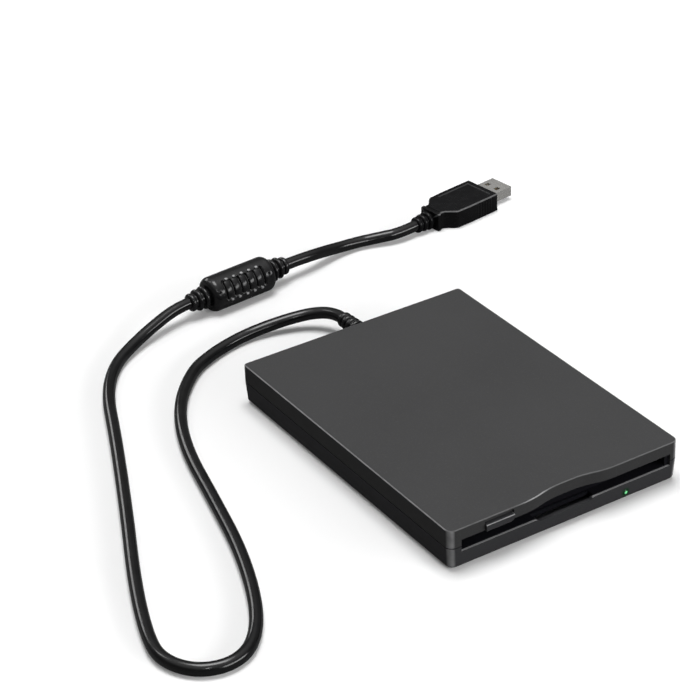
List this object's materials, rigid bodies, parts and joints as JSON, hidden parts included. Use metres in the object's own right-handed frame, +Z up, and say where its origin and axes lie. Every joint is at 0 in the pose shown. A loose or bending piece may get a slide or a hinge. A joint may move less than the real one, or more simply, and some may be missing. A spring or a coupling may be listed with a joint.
{
  "type": "external floppy disk drive",
  "caption": "Slim flat box with a front disk slot, eject key and lamp, and a thin tethered cord with a choke and a flat plug.",
  "frame": {"origin": "on the table, under the middle of the case", "axes": "+X right seen from the slot, +Y from the slot to the cord, +Z up"},
  "size_m": [0.2974, 0.2385, 0.0175],
  "materials": {
    "case_top": "fine spark texture",
    "case_base": "fine spark texture",
    "foot_rubber": "matt",
    "screw_steel": "zinc, dark",
    "frame_plastic": "smooth",
    "flap_plastic": "smooth",
    "button_plastic": "smooth",
    "spring_steel": "drawn wire",
    "lens_green": "clear tinted",
    "led_body": "clear",
    "die_cast": "as cast",
    "sheet_steel": "zinc plated",
    "bright_steel": "ground",
    "board_green": "solder mask",
    "copper": "enamelled winding",
    "sintered_bronze": "oiled",
    "magnet": "moulded ferrite",
    "hub_steel": "ground",
    "carriage_plastic": "glass filled",
    "arm_plastic": "glass filled",
    "head_ceramic": "polished",
    "motor_can": "drawn",
    "sensor_plastic": "matt",
    "plunger_plastic": "smooth",
    "chip_epoxy": "matt",
    "connector_plastic": "smooth",
    "ribbon_film": "film",
    "wire_jacket": "smooth",
    "cord_jacket": "glossy",
    "relief_pvc": "satin",
    "ferrite_black": "satin",
    "ferrite_core": "sintered",
    "plug_pvc": "satin",
    "plug_nickel": "nickel plated",
    "insert_plastic": "smooth",
    "contact_gold": "gold plated"
  },
  "bodies": {
    "case": {"upper_shell": "case_top", "lower_shell": "case_base", "rubber_feet": "foot_rubber", "case_screws": "screw_steel", "drive_screws": "screw_steel", "slot_frame": "frame_plastic", "flap_spring": "spring_steel", "led_lens": "lens_green", "led": "led_body", "chassis": "die_cast", "drive_cover": "sheet_steel", "slider_springs": "spring_steel", "spindle_board": "board_green", "stator_coils": "copper", "spindle_bearing": "sintered_bronze", "stepper_motor": "motor_can", "motor_bracket": "sheet_steel", "guide_rod": "bright_steel", "track_sensor": "sensor_plastic", "switch_block": "sensor_plastic", "drive_board": "board_green", "drive_chips": "chip_epoxy", "flex_connectors": "connector_plastic", "ribbon_cable": "ribbon_film", "usb_board": "board_green", "usb_chips": "chip_epoxy", "cord_wires": "wire_jacket", "strain_relief": "relief_pvc", "usb_cord": "cord_jacket", "ferrite_core": "ferrite_core", "ferrite_cover": "ferrite_black", "cord_through": "cord_jacket", "plug_cord": "cord_jacket", "plug_overmould": "plug_pvc", "plug_shell": "plug_nickel", "plug_insert": "insert_plastic", "plug_contacts": "contact_gold"},
    "flap": {"dust_flap": "flap_plastic"},
    "latch": {"eject_slider": "sheet_steel", "eject_button": "button_plastic"},
    "cage": {"disk_holder": "sheet_steel", "holder_pins": "bright_steel", "lever_pivot": "bright_steel", "lever_spring": "spring_steel"},
    "shutter": {"shutter_lever": "sheet_steel"},
    "rotor": {"spindle_rotor": "sheet_steel", "rotor_magnet": "magnet", "spindle_hub": "hub_steel", "spindle_shaft": "bright_steel", "drive_pin": "bright_steel"},
    "heads": {"head_carriage": "carriage_plastic", "lower_head": "head_ceramic", "arm_hinge_pin": "bright_steel", "arm_spring": "spring_steel"},
    "arm": {"head_arm": "arm_plastic", "upper_head": "head_ceramic"},
    "screw": {"lead_screw": "bright_steel"},
    "protect_key": {"protect_plunger": "plunger_plastic"},
    "density_key": {"density_plunger": "plunger_plastic"},
    "media_key": {"media_plunger": "plunger_plastic"}
  },
  "joints": [
    {"name": "eject_slide", "type": "slide", "parent": "case", "child": "latch", "axis": [0, -1, 0], "range_m": [0, 0.004], "deforming": ["slider_springs"]},
    {"name": "cage_drop", "type": "slide", "parent": "case", "child": "cage", "axis": [0, 0, -1], "range_m": [0, 0.002]},
    {"name": "shutter_swing", "type": "hinge", "parent": "cage", "child": "shutter", "pos_m": [0.041, 0.017, 0.013], "axis": [0, 0, -1], "range_deg": [0, 60.8], "stiffness_Nm_per_rad": 0.002, "springref_deg": -17.19, "deforming": ["lever_spring"]},
    {"name": "flap_swing", "type": "hinge", "parent": "case", "child": "flap", "pos_m": [0, -0.0653, 0.013], "axis": [-1, 0, 0], "range_deg": [-85, 0], "stiffness_Nm_per_rad": 0.0006, "springref_deg": 17.19, "deforming": ["flap_spring"]},
    {"name": "spindle_spin", "type": "hinge", "parent": "case", "child": "rotor", "pos_m": [0, -0.0174, 0.0054], "axis": [0, 0, 1], "continuous": true},
    {"name": "head_slide", "type": "slide", "parent": "case", "child": "heads", "axis": [0, 1, 0], "range_m": [-0.0148, 0]},
    {"name": "arm_swing", "type": "hinge", "parent": "heads", "child": "arm", "pos_m": [0, 0.0486, 0.0098], "axis": [1, 0, 0], "range_deg": [0, 10.35], "deforming": ["arm_spring"]},
    {"name": "screw_turn", "type": "hinge", "parent": "case", "child": "screw", "pos_m": [-0.014, 0.039, 0.008], "axis": [0, 1, 0], "range_deg": [0, 1777]},
    {"name": "protect_press", "type": "slide", "parent": "case", "child": "protect_key", "axis": [0, 0, 1], "range_m": [-0.0014, 0], "stiffness_N_per_m": 150, "springref_m": 0.001},
    {"name": "density_press", "type": "slide", "parent": "case", "child": "density_key", "axis": [0, 0, 1], "range_m": [-0.0014, 0], "stiffness_N_per_m": 150, "springref_m": 0.001},
    {"name": "media_press", "type": "slide", "parent": "case", "child": "media_key", "axis": [0, 0, 1], "range_m": [-0.0014, 0], "stiffness_N_per_m": 150, "springref_m": 0.001}
  ],
  "couplings": [
    {"joint": "cage_drop", "follows": "eject_slide", "ratio": 0.5},
    {"joint": "arm_swing", "follows": "eject_slide", "rad_per_m": 45.055},
    {"joint": "screw_turn", "follows": "head_slide", "rad_per_m": -2094.4}
  ]
}
